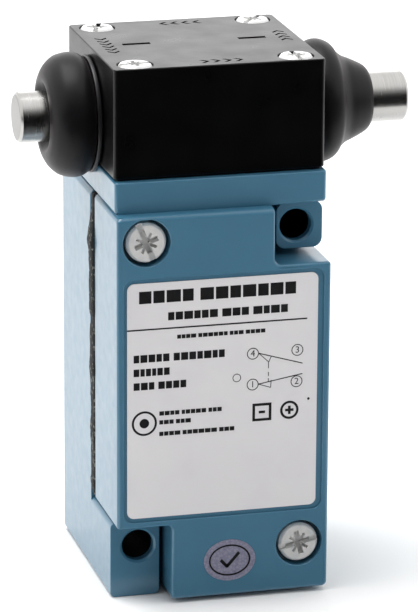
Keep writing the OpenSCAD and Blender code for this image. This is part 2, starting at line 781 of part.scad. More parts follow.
// Boot drawn out to a neck, as it is on the side that stands out
module right_boot() {
  color("#2a2b2e") turned(1) polygon(concat(
    [[collar_r + 0.05, 1.05], [10.2, 1.05], [10.4, 1.7]],
    arc(8, 3.4, 3.45, 4.1, 0, 75, 8),
    [[8, 8.6], [7.2, 10.2]],
    arc(5.4, 11.7, 1.5, 1.5, 0, 90, 5),
    [[plunger_r + 0.05, 13.2], [plunger_r + 0.05, 11.6], [5.6, 11.4], [6, 10], [6.8, 8]],
    arc(8, 3.4, 2.2, 2.9, 75, 0, 6),
    [[9.6, 2.7], [collar_r + 0.05, 2.6]]
  ));
}

// Stiff ring that clamps the boot's root to the head
module boot_ring(side) {
  color("#151516") turned(side)
    translate([collar_r + 0.05, 0.22]) square([10.7 - collar_r, 0.8]);
}

base_casting();
terminal_block();
socket(-1, nc_z, term_screw_x[0]);  // socket_1
socket(1, nc_z, term_screw_x[0]);  // socket_2
socket(1, no_z, term_screw_x[1]);  // socket_3
socket(-1, no_z, term_screw_x[1]);  // socket_4
terminal_screws();
wire_clamps();
receptacle_screws();
ground_screw();
housing_gasket();
switch_housing();
cover_screws();
name_plate();
round_sticker();
block_case();
block_cover();
block_screws();
fixed_contact(-1, nc_z, true);  // nc_contact_1
fixed_contact(1, nc_z, true);  // nc_contact_2
fixed_contact(1, no_z, false);  // no_contact_3
fixed_contact(-1, no_z, false);  // no_contact_4
switch_plunger();
toggle_springs();
contact_carrier();
contact_bridge();
contact_spring();
guide_bush();
stem_seal();
follower_spring();
follower_stem();
stem_clip();
follower_roller();
roller_pin();
head_gasket();
head_casting();
head_screws();
rod_bush(-1);  // left_bush
rod_bush(1);  // right_bush
plunger(-1);  // left_plunger
plunger(1);  // right_plunger
cam_slider();
detent_spring();
detent_rivets();
left_boot();
right_boot();
boot_ring(-1);  // left_boot_ring
boot_ring(1);  // right_boot_ring
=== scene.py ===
# Looks of a plug-in limit switch with two side plungers, in metres, in the frame of its CAD model.
import json
import math
import random

import bmesh
import bpy
from mathutils import Matrix, Vector

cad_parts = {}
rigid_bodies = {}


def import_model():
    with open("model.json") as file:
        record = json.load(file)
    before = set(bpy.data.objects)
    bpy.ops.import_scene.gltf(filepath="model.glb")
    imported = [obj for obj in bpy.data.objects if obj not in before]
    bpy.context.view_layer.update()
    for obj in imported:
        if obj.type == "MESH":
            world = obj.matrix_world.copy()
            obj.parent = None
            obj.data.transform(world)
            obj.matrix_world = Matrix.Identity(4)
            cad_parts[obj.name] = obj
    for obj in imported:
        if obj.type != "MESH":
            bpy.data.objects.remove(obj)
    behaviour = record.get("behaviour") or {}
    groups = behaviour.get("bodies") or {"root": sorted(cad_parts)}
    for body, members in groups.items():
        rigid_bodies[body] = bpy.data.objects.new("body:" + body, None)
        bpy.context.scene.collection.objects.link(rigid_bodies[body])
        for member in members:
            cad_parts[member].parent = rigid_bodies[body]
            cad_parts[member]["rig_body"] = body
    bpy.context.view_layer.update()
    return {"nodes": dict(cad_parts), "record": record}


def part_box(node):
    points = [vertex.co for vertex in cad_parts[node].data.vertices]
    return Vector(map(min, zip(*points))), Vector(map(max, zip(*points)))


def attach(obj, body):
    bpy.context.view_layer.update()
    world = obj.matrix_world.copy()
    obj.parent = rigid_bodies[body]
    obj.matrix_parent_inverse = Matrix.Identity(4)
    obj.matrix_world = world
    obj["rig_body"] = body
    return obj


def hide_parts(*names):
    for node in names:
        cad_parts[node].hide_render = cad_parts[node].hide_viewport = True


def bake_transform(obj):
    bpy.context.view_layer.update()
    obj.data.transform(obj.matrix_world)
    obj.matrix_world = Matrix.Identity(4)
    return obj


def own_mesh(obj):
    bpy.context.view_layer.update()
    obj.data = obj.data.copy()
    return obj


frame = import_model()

MM = 0.001
random.seed(7)

# ---------- places taken from the CAD ----------

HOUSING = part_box("switch_housing")
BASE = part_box("base_casting")
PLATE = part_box("name_plate")
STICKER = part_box("round_sticker")
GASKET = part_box("housing_gasket")
LEFT_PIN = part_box("left_plunger")
ROD_Y = (LEFT_PIN[0].y + LEFT_PIN[1].y) / 2
ROD_Z = (LEFT_PIN[0].z + LEFT_PIN[1].z) / 2
PIN_R = (LEFT_PIN[1].z - LEFT_PIN[0].z) / 2
HEAD_SIDE_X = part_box("right_boot_ring")[0].x - 0.22 * MM
BODY = "switch_body"


# ---------- shader helpers ----------

def linear(hex_colour):
    """An sRGB hex colour as linear red, green, blue and alpha."""
    parts = [int(hex_colour[i:i + 2], 16) / 255 for i in (1, 3, 5)]
    return tuple(c / 12.92 if c <= 0.04045 else ((c + 0.055) / 1.055) ** 2.4 for c in parts) + (1.0,)


def per(size_mm):
    """Texture scale that gives features of a size in millimetres."""
    return 1 / (size_mm * MM)


def add(owner, kind, settings=None, links=None):
    """Adds a node to a material or the world, with its settings and the outputs that feed its inputs."""
    node = owner.node_tree.nodes.new("ShaderNode" + kind)
    for name, value in (settings or {}).items():
        if isinstance(name, int) or name in node.inputs:
            node.inputs[name].default_value = value
        else:
            setattr(node, name, value)
    for name, source in (links or {}).items():
        owner.node_tree.links.new(source, node.inputs[name])
    return node


def blank(name, colour):
    """An empty material and the coordinates that its patterns use."""
    material = bpy.data.materials.new(name)
    material.use_nodes = True
    material.node_tree.nodes.clear()
    material.diffuse_color = linear(colour)
    return material, add(material, "TexCoord").outputs["Object"]


# ---------- finishes ----------

def painted_casting():
    # Zinc die-casting under a baked epoxy: even teal blue, glossy when seen along it, with a faint orange peel.
    m, at = blank("zinc die-cast, epoxy painted", "#3F718B")
    cloud = add(m, "TexNoise", {"Scale": per(11), "Detail": 3}, {"Vector": at}).outputs["Fac"]
    colour = add(m, "Mix", {"data_type": "RGBA", 6: linear("#3B6C86"), 7: linear("#437690")}, {0: cloud}).outputs[2]
    film = add(m, "TexNoise", {"Scale": per(2.5)}, {"Vector": at}).outputs["Fac"]
    gloss = add(m, "MapRange", {"From Min": 0.3, "From Max": 0.7, "To Min": 0.3, "To Max": 0.38}, {"Value": film})
    peel = add(m, "TexNoise", {"Scale": per(1.2), "Detail": 1}, {"Vector": at}).outputs["Fac"]
    waves = add(m, "Bump", {"Distance": 0.008 * MM}, {"Height": peel}).outputs["Normal"]
    dust = add(m, "TexNoise", {"Scale": per(0.3), "Detail": 1}, {"Vector": at}).outputs["Fac"]
    skin = add(m, "Bump", {"Distance": 0.002 * MM}, {"Height": dust, "Normal": waves}).outputs["Normal"]
    paint = add(m, "BsdfPrincipled", {"IOR": 1.42, "Coat Weight": 0.6, "Coat Roughness": 0.16},
                {"Base Color": colour, "Roughness": gloss.outputs[0], "Normal": skin, "Coat Normal": waves})
    add(m, "OutputMaterial", links={"Surface": paint.outputs[0]})
    return m


def coated_head():
    # Zinc die-casting under a black powder coat: black face on, grey at a grazing angle, finely grained.
    m, at = blank("zinc die-cast, powder coated", "#0B0B0C")
    drift = add(m, "TexNoise", {"Scale": per(6), "Detail": 3}, {"Vector": at}).outputs["Fac"]
    colour = add(m, "Mix", {"data_type": "RGBA", 6: linear("#030303"), 7: linear("#080809")}, {0: drift}).outputs[2]
    gloss = add(m, "MapRange", {"From Min": 0.3, "From Max": 0.7, "To Min": 0.27, "To Max": 0.34}, {"Value": drift})
    grain = add(m, "TexNoise", {"Scale": per(0.4), "Detail": 2}, {"Vector": at}).outputs["Fac"]
    fine = add(m, "Bump", {"Distance": 0.006 * MM}, {"Height": grain}).outputs["Normal"]
    peel = add(m, "TexNoise", {"Scale": per(1.6), "Detail": 1}, {"Vector": at}).outputs["Fac"]
    skin = add(m, "Bump", {"Distance": 0.008 * MM}, {"Height": peel, "Normal": fine}).outputs["Normal"]
    coat = add(m, "BsdfPrincipled", {"IOR": 1.36},
               {"Base Color": colour, "Roughness": gloss.outputs[0], "Normal": skin})
    add(m, "OutputMaterial", links={"Surface": coat.outputs[0]})
    return m


def zinc_plated_steel():
    # Cold-headed steel under zinc, whose chalky passivated film scatters part of the light: pale from every side.
    m, at = blank("steel, bright zinc plated", "#D8D9D8")
    film = add(m, "TexNoise", {"Scale": per(1.4), "Detail": 3}, {"Vector": at}).outputs["Fac"]
    colour = add(m, "Mix", {"data_type": "RGBA", 6: linear("#DDE0E2"), 7: linear("#F4F2EE")}, {0: film}).outputs[2]
    gloss = add(m, "MapRange", {"From Min": 0.3, "From Max": 0.7, "To Min": 0.36, "To Max": 0.5}, {"Value": film})
    marks = add(m, "TexNoise", {"Scale": per(0.6), "Detail": 3}, {"Vector": at}).outputs["Fac"]
    skin = add(m, "Bump", {"Distance": 0.05 * MM}, {"Height": marks}).outputs["Normal"]
    steel = add(m, "BsdfPrincipled", {"Metallic": 0.4},
                {"Base Color": colour, "Roughness": gloss.outputs[0], "Normal": skin})
    add(m, "OutputMaterial", links={"Surface": steel.outputs[0]})
    return m


def ground_stainless():
    # Centreless-ground stainless rod: rings round the axis draw each highlight out along it.
    # Its faced ends are duller.
    m, at = blank("stainless steel, centreless ground", "#B9B7B4")
    drawn = add(m, "Mapping", {"Scale": (1, 0.03, 0.03)}, {"Vector": at}).outputs["Vector"]
    # real grinding lines are about 0.05 mm apart, drawn coarser so that they show
    rings = add(m, "TexNoise", {"Scale": per(0.22), "Detail": 3}, {"Vector": drawn}).outputs["Fac"]
    colour = add(m, "Mix", {"data_type": "RGBA", 6: linear("#AFADAA"), 7: linear("#C3C2C0")}, {0: rings}).outputs[2]
    facing = add(m, "SeparateXYZ", links={0: add(m, "TexCoord").outputs["Normal"]}).outputs[0]
    endwise = add(m, "Math", {"operation": "ABSOLUTE"}, {0: facing}).outputs[0]
    faced = add(m, "MapRange", {"From Min": 0.85, "From Max": 0.98}, {"Value": endwise}).outputs[0]
    shade = add(m, "Mix", {"data_type": "RGBA", 7: linear("#7E7C7A")}, {0: faced, 6: colour}).outputs[2]
    gloss = add(m, "MapRange", {"From Min": 0.3, "From Max": 0.7, "To Min": 0.23, "To Max": 0.28}, {"Value": rings})
    skin = add(m, "Bump", {"Distance": 0.0005 * MM}, {"Height": rings}).outputs["Normal"]
    steel = add(m, "BsdfPrincipled", {"Metallic": 1.0},
                {"Base Color": shade, "Roughness": gloss.outputs[0], "Normal": skin})
    add(m, "OutputMaterial", links={"Surface": steel.outputs[0]})
    return m


def plain_metal(name, first, second, low, high, blotch_mm, mark_mm, depth_mm):
    # Bare metals: each has its own tint, blotches and depth of surface marks.
    m, at = blank(name, first)
    stain = add(m, "TexNoise", {"Scale": per(blotch_mm), "Detail": 3}, {"Vector": at}).outputs["Fac"]
    colour = add(m, "Mix", {"data_type": "RGBA", 6: linear(first), 7: linear(second)}, {0: stain}).outputs[2]
    marks = add(m, "TexNoise", {"Scale": per(mark_mm), "Detail": 2}, {"Vector": at}).outputs["Fac"]
    gloss = add(m, "MapRange", {"From Min": 0.3, "From Max": 0.7, "To Min": low, "To Max": high}, {"Value": marks})
    skin = add(m, "Bump", {"Distance": depth_mm * MM}, {"Height": marks}).outputs["Normal"]
    metal = add(m, "BsdfPrincipled", {"Metallic": 1.0},
                {"Base Color": colour, "Roughness": gloss.outputs[0], "Normal": skin})
    add(m, "OutputMaterial", links={"Surface": metal.outputs[0]})
    return m


def hardened_steel():
    # Hardened and ground steel with a trace of oil: grey, clean, softly reflecting.
    return plain_metal("steel, hardened and ground", "#84868B", "#9A9B9F", 0.22, 0.34, 3, 0.4, 0.003)


def spring_steel():
    # Blued spring steel: smooth, from slate blue to straw.
    return plain_metal("spring steel, blued", "#66707F", "#948E86", 0.2, 0.3, 2, 0.4, 0.002)


def stamped_brass():
    # Stamped brass strip: yellow metal dulled in patches.
    return plain_metal("brass, stamped", "#B08A45", "#DDBE73", 0.22, 0.4, 2.5, 0.6, 0.005)


def sintered_bronze():
    # Oil-filled sintered bronze: brown metal whose pores break up the shine.
    return plain_metal("bronze, sintered", "#8F683C", "#B98D57", 0.32, 0.55, 1.2, 0.25, 0.02)


def bare_zinc():
    # Zinc alloy bared by the thread tap: pale grey with torn tool marks.
    return plain_metal("zinc alloy, tapped", "#8D9196", "#AEB1B4", 0.3, 0.5, 2, 0.3, 0.02)


def bore_shade_paint():
    # Wall of a mounting hole: painted shade, near black and dull, for the dark inside of the bore; the paint stays
    # on the mouth.
    return plain_metal("painted bore shade, near black", "#0C0E10", "#17191B", 0.6, 0.8, 2, 0.5, 0.01)


def green_screw_coat():
    # Green passivated steel of the ground screw: a thin coloured film over metal.
    return plain_metal("steel, green passivated", "#1F7A3B", "#36944F", 0.28, 0.42, 1.5, 0.5, 0.005)


def moulded_rubber():
    # Moulded nitrile rubber: black with a soft grey sheen along its curves and a faint bloom.
    m, at = blank("nitrile rubber, moulded", "#141416")
    bloom = add(m, "TexNoise", {"Scale": per(5), "Detail": 4}, {"Vector": at}).outputs["Fac"]
    colour = add(m, "Mix", {"data_type": "RGBA", 6: linear("#08080A"), 7: linear("#141316")}, {0: bloom}).outputs[2]
    gloss = add(m, "MapRange", {"From Min": 0.3, "From Max": 0.7, "To Min": 0.36, "To Max": 0.46}, {"Value": bloom})
    skin = add(m, "TexNoise", {"Scale": per(0.5), "Detail": 2}, {"Vector": at}).outputs["Fac"]
    matt = add(m, "Bump", {"Distance": 0.008 * MM}, {"Height": skin}).outputs["Normal"]
    rubber = add(m, "BsdfPrincipled",
                 {"IOR": 1.3, "Sheen Weight": 0.1, "Sheen Roughness": 0.4, "Sheen Tint": linear("#C9B3B3")},
                 {"Base Color": colour, "Roughness": gloss.outputs[0], "Normal": matt})
    add(m, "OutputMaterial", links={"Surface": rubber.outputs[0]})
    return m


def moulded_plastic(name, first, second, low, high, mottle_mm, depth_mm):
    # Moulded parts: each has its own tint, mottle and gloss.
    m, at = blank(name, first)
    mottle = add(m, "TexNoise", {"Scale": per(mottle_mm), "Detail": 4}, {"Vector": at}).outputs["Fac"]
    colour = add(m, "Mix", {"data_type": "RGBA", 6: linear(first), 7: linear(second)}, {0: mottle}).outputs[2]
    gloss = add(m, "MapRange", {"From Min": 0.3, "From Max": 0.7, "To Min": low, "To Max": high}, {"Value": mottle})
    flow = add(m, "TexNoise", {"Scale": per(1.5), "Detail": 2}, {"Vector": at}).outputs["Fac"]
    skin = add(m, "Bump", {"Distance": depth_mm * MM}, {"Height": flow}).outputs["Normal"]
    plastic = add(m, "BsdfPrincipled", {"IOR": 1.5},
                  {"Base Color": colour, "Roughness": gloss.outputs[0], "Normal": skin})
    add(m, "OutputMaterial", links={"Surface": plastic.outputs[0]})
    return m


def nylon_ring():
    # Injection-moulded nylon ring: dark grey, smooth, a little lighter than the rubber beside it.
    return moulded_plastic("nylon, moulded", "#1A1A1C", "#262629", 0.28, 0.38, 2, 0.006)


def black_phenolic():
    # Compression-moulded phenolic: black, glossy from the mould.
    return moulded_plastic("phenolic, moulded black", "#17191B", "#26282B", 0.25, 0.38, 1.2, 0.01)


def brown_phenolic():
    # Wood-filled phenolic: dark brown with a fine mottle of the filler.
    return moulded_plastic("phenolic, wood filled", "#2F211A", "#4B382D", 0.3, 0.42, 0.8, 0.012)


def natural_acetal():
    # Moulded acetal in its natural ivory, with a waxy gloss.
    return moulded_plastic("acetal, natural", "#D2CBB8", "#E4DFD0", 0.3, 0.42, 4, 0.006)


def cork_rubber():
    # Sheet of cork granules in rubber, cut with a knife: black, crumbly, with pale torn grains.
    m, at = blank("cork and rubber sheet, cut", "#1E2022")
    cells = add(m, "TexVoronoi", {"Scale": per(0.5)}, {"Vector": at})
    share = add(m, "SeparateColor", {}, {"Color": cells.outputs["Color"]}).outputs[0]
    pale = add(m, "MapRange", {"From Min": 0.78, "From Max": 0.98}, {"Value": share}).outputs[0]
    colour = add(m, "Mix", {"data_type": "RGBA", 6: linear("#101214"), 7: linear("#6E706B")}, {0: pale}).outputs[2]
    crumbs = add(m, "Bump", {"Distance": 0.15 * MM}, {"Height": cells.outputs["Distance"]}).outputs["Normal"]
    torn = add(m, "TexNoise", {"Scale": per(1.3), "Detail": 4}, {"Vector": at}).outputs["Fac"]
    edge = add(m, "Bump", {"Distance": 0.15 * MM}, {"Height": torn, "Normal": crumbs}).outputs["Normal"]
    sheet = add(m, "BsdfPrincipled", {"Roughness": 0.8, "IOR": 1.45}, {"Base Color": colour, "Normal": edge})
    add(m, "OutputMaterial", links={"Surface": sheet.outputs[0]})
    return m


def label_film():
    # Metallised label film under a matt lacquer: pale silver, barely mottled where the glue shows through.
    m, at = blank("metallised film, matt lacquered", "#D6D4D6")
    glue = add(m, "TexNoise", {"Scale": per(6), "Detail": 4}, {"Vector": at}).outputs["Fac"]
    colour = add(m, "Mix", {"data_type": "RGBA", 6: linear("#DAD7DC"), 7: linear("#E3E2E1")}, {0: glue}).outputs[2]
    gloss = add(m, "MapRange", {"From Min": 0.3, "From Max": 0.7, "To Min": 0.42, "To Max": 0.52}, {"Value": glue})
    dents = add(m, "TexNoise", {"Scale": per(3.5), "Detail": 2}, {"Vector": at}).outputs["Fac"]
    skin = add(m, "Bump", {"Distance": 0.012 * MM}, {"Height": dents}).outputs["Normal"]
    film = add(m, "BsdfPrincipled", {"IOR": 1.45, "Metallic": 0.1},
               {"Base Color": colour, "Roughness": gloss.outputs[0], "Normal": skin})
    add(m, "OutputMaterial", links={"Surface": film.outputs[0]})
    return m


def sticker_film():
    # Metallised sticker film with a fine embossed mesh: mauve and slightly sparkling.
    m, at = blank("metallised film, embossed", "#A9A6BC")
    mesh = add(m, "TexVoronoi", {"Scale": per(0.45)}, {"Vector": at}).outputs["Distance"]
    colour = add(m, "Mix", {"data_type": "RGBA", 6: linear("#ABA9BE"), 7: linear("#83849D")}, {0: mesh}).outputs[2]
    skin = add(m, "Bump", {"Distance": 0.02 * MM}, {"Height": mesh}).outputs["Normal"]
    film = add(m, "BsdfPrincipled", {"Metallic": 0.35, "Roughness": 0.36}, {"Base Color": colour, "Normal": skin})
    add(m, "OutputMaterial", links={"Surface": film.outputs[0]})
    return m


def black_ink():
    # Screen-printed black ink: dense, slightly glossier than the film under it.
    m, at = blank("ink, screen printed", "#121214")
    lay = add(m, "TexNoise", {"Scale": per(0.7), "Detail": 3}, {"Vector": at}).outputs["Fac"]
    colour = add(m, "Mix", {"data_type": "RGBA", 6: linear("#0C0C0E"), 7: linear("#1D1D20")}, {0: lay}).outputs[2]
    gloss = add(m, "MapRange", {"From Min": 0.3, "From Max": 0.7, "To Min": 0.38, "To Max": 0.5}, {"Value": lay})
    ink = add(m, "BsdfPrincipled", {"IOR": 1.45}, {"Base Color": colour, "Roughness": gloss.outputs[0]})
    add(m, "OutputMaterial", links={"Surface": ink.outputs[0]})
    return m


def matt_board(name, colour):
    # Matt painted board of the studio: takes light and gives no reflection.
    m, at = blank(name, colour)
    fibre = add(m, "TexNoise", {"Scale": per(3), "Detail": 4}, {"Vector": at}).outputs["Fac"]
    skin = add(m, "Bump", {"Distance": 0.01 * MM}, {"Height": fibre}).outputs["Normal"]
    board = add(m, "BsdfPrincipled", {"Base Color": linear(colour), "Roughness": 0.95, "Specular IOR Level": 0.0},
                {"Normal": skin})
    add(m, "OutputMaterial", links={"Surface": board.outputs[0]})
    return m


FINISHES = {
    "casting_paint": painted_casting(),
    "head_coating": coated_head(),
    "plated_steel": zinc_plated_steel(),
    "green_screw": green_screw_coat(),
    "stainless_steel": ground_stainless(),
    "hardened_steel": hardened_steel(),
    "spring_steel": spring_steel(),
    "brass_strip": stamped_brass(),
    "bronze": sintered_bronze(),
    "boot_rubber": moulded_rubber(),
    "ring_plastic": nylon_ring(),
    "gasket_rubber": cork_rubber(),
    "foil_label": label_film(),
    "foil_sticker": sticker_film(),
    "black_moulding": black_phenolic(),
    "brown_moulding": brown_phenolic(),
    "white_moulding": natural_acetal(),
}
INK = black_ink()
BARE_ZINC = bare_zinc()
# painted shade for the walls of the mounting holes
BORE_SHADE = bore_shade_paint()
SLOT_OF = {part["node"]: part["material_slot"] for part in frame["record"]["subparts"]}


# ---------- mesh helpers ----------

def piece(name, vertices, faces, material, body, smooth=False):
    """A mesh in the row frame that rides on a body."""
    mesh = bpy.data.meshes.new(name)
    mesh.from_pydata([tuple(v) for v in vertices], [], faces)
    mesh.validate()
    mesh.materials.append(material)
    if smooth:
        mesh.shade_smooth()
    made = bpy.data.objects.new(name, mesh)
    bpy.context.scene.collection.objects.link(made)
    if body:
        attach(made, body)
    return made


def from_bmesh(name, bm, material, body):
    """The same for a bmesh, which is freed."""
    mesh = bpy.data.meshes.new(name)
    bm.normal_update()
    bm.to_mesh(mesh)
    bm.free()
    mesh.materials.append(material)
    made = bpy.data.objects.new(name, mesh)
    bpy.context.scene.collection.objects.link(made)
    if body:
        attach(made, body)
    return made


def outward(made):
    """Turns a closed mesh's faces outwards."""
    bm = bmesh.new()
    bm.from_mesh(made.data)
    bmesh.ops.recalc_face_normals(bm, faces=bm.faces)
    bm.to_mesh(made.data)
    bm.free()


def chains_of(edges):
    """Edges grouped into chains that share corners, always in the same order."""
    left, chains = {edge.index: edge for edge in edges}, []
    while left:
        chain, reach = [], [left.pop(next(iter(left)))]
        while reach:
            edge = reach.pop()
            chain.append(edge)
            for corner in edge.verts:
                reach += [left.pop(near.index) for near in corner.link_edges if near.index in left]
        chains.append(chain)
    return chains


def span(chain):
    """The longest side of the box round a chain of edges."""
    corners = [v.co for e in chain for v in e.verts]
    return max(max(c[i] for c in corners) - min(c[i] for c in corners) for i in range(3))


def in_order(bm):
    """A bmesh's corners and faces, each face from its lowest corner, so that every run gives the same mesh."""
    bm.verts.index_update()
    faces = []
    for face in bm.faces:
        corners = [v.index for v in face.verts]
        start = corners.index(min(corners))
        faces.append(corners[start:] + corners[:start])
    vertices = [v.co.copy() for v in bm.verts]
    bm.free()
    return vertices, sorted(faces)


def eased(node, rounding):
    """A CAD node with some of its sharp edges rounded; it stands for the node.

    Rounding pairs the span of a chain of edges with the radius for it, both in millimetres.
    """
    source = frame["nodes"][node]
    bm = bmesh.new()
    bm.from_mesh(source.data)
    bmesh.ops.remove_doubles(bm, verts=bm.verts, dist=1e-6)
    bmesh.ops.dissolve_limit(bm, angle_limit=math.radians(0.2), verts=bm.verts, edges=bm.edges)
    bm.edges.index_update()
    sharp = [e for e in bm.edges if len(e.link_faces) == 2 and e.calc_face_angle_signed(0) > math.radians(35)]
    for chain in chains_of(sharp):
        radius = next((r for length, r in rounding if abs(span(chain) - length * MM) < 0.35 * MM), 0)
        if radius:
            bmesh.ops.bevel(bm, geom=chain, offset=radius * MM, offset_type="OFFSET", segments=3, profile=0.5,
                            affect="EDGES", clamp_overlap=False, loop_slide=True, material=-1)
    vertices, faces = in_order(bm)
    made = piece(node + "_eased", vertices, faces, FINISHES[SLOT_OF[node]], source["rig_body"])
    weigh_normals(made)
    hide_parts(node)
    return made


def weigh_normals(made):
    """Smooth shading in which large flat faces stay flat."""
    made.data.shade_smooth()
    made.data.set_sharp_from_angle(angle=math.radians(38))
    weighted = made.modifiers.new("flat faces", "WEIGHTED_NORMAL")
    weighted.keep_sharp = True
    shaped = bpy.data.meshes.new_from_object(made.evaluated_get(bpy.context.evaluated_depsgraph_get()))
    made.modifiers.clear()
    made.data = shaped


def smooth_through(points, steps=6):
    """A Catmull-Rom curve through points of any size."""
    ends = [points[0]] + list(points) + [points[-1]]
    curve = []
    for a, b, c, d in zip(ends, ends[1:], ends[2:], ends[3:]):
        for i in range(steps):
            t = i / steps
            curve.append(tuple(
                0.5 * (2 * q + (r - p) * t + (2 * p - 5 * q + 4 * r - s) * t * t + (3 * q - p - 3 * r + s) * t ** 3)
                for p, q, r, s in zip(a, b, c, d)))
    return curve + [tuple(points[-1])]


# ---------- castings, screws and pins ----------

base = eased("base_casting", ((73.9, 0.4), (19.2, 0.5), (8.8, 0.2), (14.5, 0.15)))
eased("switch_housing", ((73.4, 0.6), (46.3, 0.2), (40.8, 0.3), (8.8, 0.25)))
eased("head_casting", ((39.2, 0.25), (6.6, 0.15), (15.9, 0.2)))
for name in ("left_plunger", "right_plunger"):
    eased(name, ((8.3, 0.15),))
for name in ("left_boot_ring", "right_boot_ring"):
    eased(name, ((21.4, 0.2),))

for name, cad in frame["nodes"].items():
    cad.data.materials.clear()
    # the seal under the head is plain rubber, without the cork grains of the housing's
    cad.data.materials.append(FINISHES["boot_rubber" if name == "head_gasket" else SLOT_OF[name]])


# ---------- bores of the mounting holes ----------

HOLE_SPACING_X = 29.5 * MM
BORE_REACH = 2.9 * MM


def paint_bore_shade(made):
    """Gives the walls of the two mounting holes, which lie on one diagonal, a near-black painted shade."""
    pattern = next(m for m in frame["record"]["mounts"] if m["name"] == "front_mounting_holes")
    half_w = HOLE_SPACING_X / 2
    half_h = math.sqrt((pattern["dims"]["pcd_mm"] / 2 * MM) ** 2 - half_w ** 2)
    middle = pattern["pos_m"][2]
    # the second slot is the painted shade of the bore walls
    made.data.materials.append(BORE_SHADE)
    for face in made.data.polygons:
        for side in (-1, 1):
            off_x = face.center.x - side * half_w
            off_z = face.center.z - middle - side * half_h
            if math.hypot(off_x, off_z) < BORE_REACH and abs(face.normal.y) < 0.3:
                face.material_index = 1


paint_bore_shade(base)


# ---------- boots ----------

# Distance from the head's side, radius, and share of the rod's travel, for each ring of the skin, in millimetres.
BOOT_OUT = [
    (1.1, 9.6, 0.0), (1.3, 10.5, 0.0), (2.7, 11.3, 0.0), (4.3, 11.35, 0.0), (5.9, 10.6, 0.0), (6.9, 9.3, 0.0),
    (8.2, 8.2, 0.0), (9.8, 7.5, 0.2), (11.4, 6.75, 0.42), (12.5, 6.1, 0.62), (13.1, 5.4, 0.85), (13.2, 4.72, 1.0),
]
BOOT_IN = [
    (1.1, 9.6, 0.0), (1.3, 10.5, 0.0), (2.7, 11.3, 0.0), (4.3, 11.4, 0.0), (6.3, 10.9, 0.0), (7.8, 9.7, 0.0),
    (8.7, 8.3, 0.0), (9.0, 7.3, 0.2), (9.0, 6.6, 0.42), (8.7, 6.0, 0.62), (7.9, 5.3, 0.85), (7.0, 4.72, 1.0),
]
# Thickness of the skin, depth of its lip along the pin, its gap to the pin and where its inside starts, likewise.
SKIN, LIP, PIN_GAP, ROOT = 1.0, 1.6, 0.06, 1.05


def boot(name, node, side, profile):
    """A turned rubber boot, rooted on the head and closing round the plunger at its lip."""
    outer = smooth_through(profile)
    bore = PIN_R / MM + PIN_GAP
    inner = []
    for before, here, after in zip([outer[0]] + outer, outer, outer[1:] + [outer[-1]]):
        along = Vector((after[0] - before[0], after[1] - before[1])).normalized()
        inner.append((max(ROOT, here[0] + along.y * SKIN), max(here[1] - along.x * SKIN, bore), here[2]))
    lip = [(outer[-1][0] - LIP, bore, 1.0)]
    inner = [p for p in inner if p[2] < 0.9]
    rings = outer + lip + inner[::-1]
    sides = 96
    vertices, weights = [], []
    for distance, radius, share in rings:
        for i in range(sides):
            a = 2 * math.pi * i / sides
            vertices.append((side * (HEAD_SIDE_X + distance * MM), ROD_Y + radius * MM * math.cos(a),
                             ROD_Z + radius * MM * math.sin(a)))
            weights.append(share)
    faces = []
    for r in range(len(rings)):
        for i in range(sides):
            j, q = (i + 1) % sides, (r + 1) % len(rings)
            ring = [r * sides + i, r * sides + j, q * sides + j, q * sides + i]
            faces.append(ring if side > 0 else ring[::-1])
    made = piece(name, vertices, faces, FINISHES["boot_rubber"], None, smooth=True)
    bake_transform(made)
    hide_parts(node)
    return made


boot("left_boot_skin", "left_boot", -1, BOOT_IN)
boot("right_boot_skin", "right_boot", 1, BOOT_OUT)


# ---------- follower's return spring ----------

def follower_coil():
    """The spring under the follower's clip, copied from its CAD node onto the same body."""
    source = frame["nodes"]["follower_spring"]
    bm = bmesh.new()
    bm.from_mesh(source.data)
    made = from_bmesh("follower_spring_coil", bm, FINISHES["spring_steel"], source["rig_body"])
    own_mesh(made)
    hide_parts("follower_spring")


follower_coil()


# ---------- name plate and sticker print ----------

INK_DEPTH = 0.02 * MM
PRINT_FRONT = PLATE[0].y - INK_DEPTH
PRINT_BACK = PLATE[0].y + INK_DEPTH


def slabs(name, outlines, front, back, material=None):
    """Flat printed marks: each outline in X and Z, in millimetres, becomes a thin solid."""
    vertices, faces = [], []
    for outline in outlines:
        n, first = len(outline), len(vertices)
        for y in (front, back):
            vertices += [(x * MM, y, z * MM) for x, z in outline]
        faces.append([first + i for i in range(n)])
        faces.append([first + n + i for i in reversed(range(n))])
        faces += [[first + i, first + n + i, first + n + (i + 1) % n, first + (i + 1) % n] for i in range(n)]
    made = piece(name, vertices, faces, material or INK, BODY)
    outward(made)
    return made


def bar(x0, z0, x1, z1):
    return [(x0, z0), (x1, z0), (x1, z1), (x0, z1)]


def line(x0, z0, x1, z1, width):
    """A straight stroke of a width between two points."""
    along = Vector((x1 - x0, z1 - z0)).normalized() * width / 2
    return [(x0 + along.y, z0 - along.x), (x1 + along.y, z1 - along.x),
            (x1 - along.y, z1 + along.x), (x0 - along.y, z0 + along.x)]


def ring(x, z, radius, width, sides=48):
    """A ring as a fan of short strokes."""
    strokes = []
    for i in range(sides):
        corners = []
        for r, k in ((radius, i), (radius, i + 1), (radius - width, i + 1), (radius - width, i)):
            a = 2 * math.pi * k / sides
            corners.append((x + r * math.cos(a), z + r * math.sin(a)))
        strokes.append(corners)
    return strokes


def disc(x, z, radius, sides=32):
    return [(x + radius * math.cos(2 * math.pi * i / sides), z + radius * math.sin(2 * math.pi * i / sides))
            for i in range(sides)]


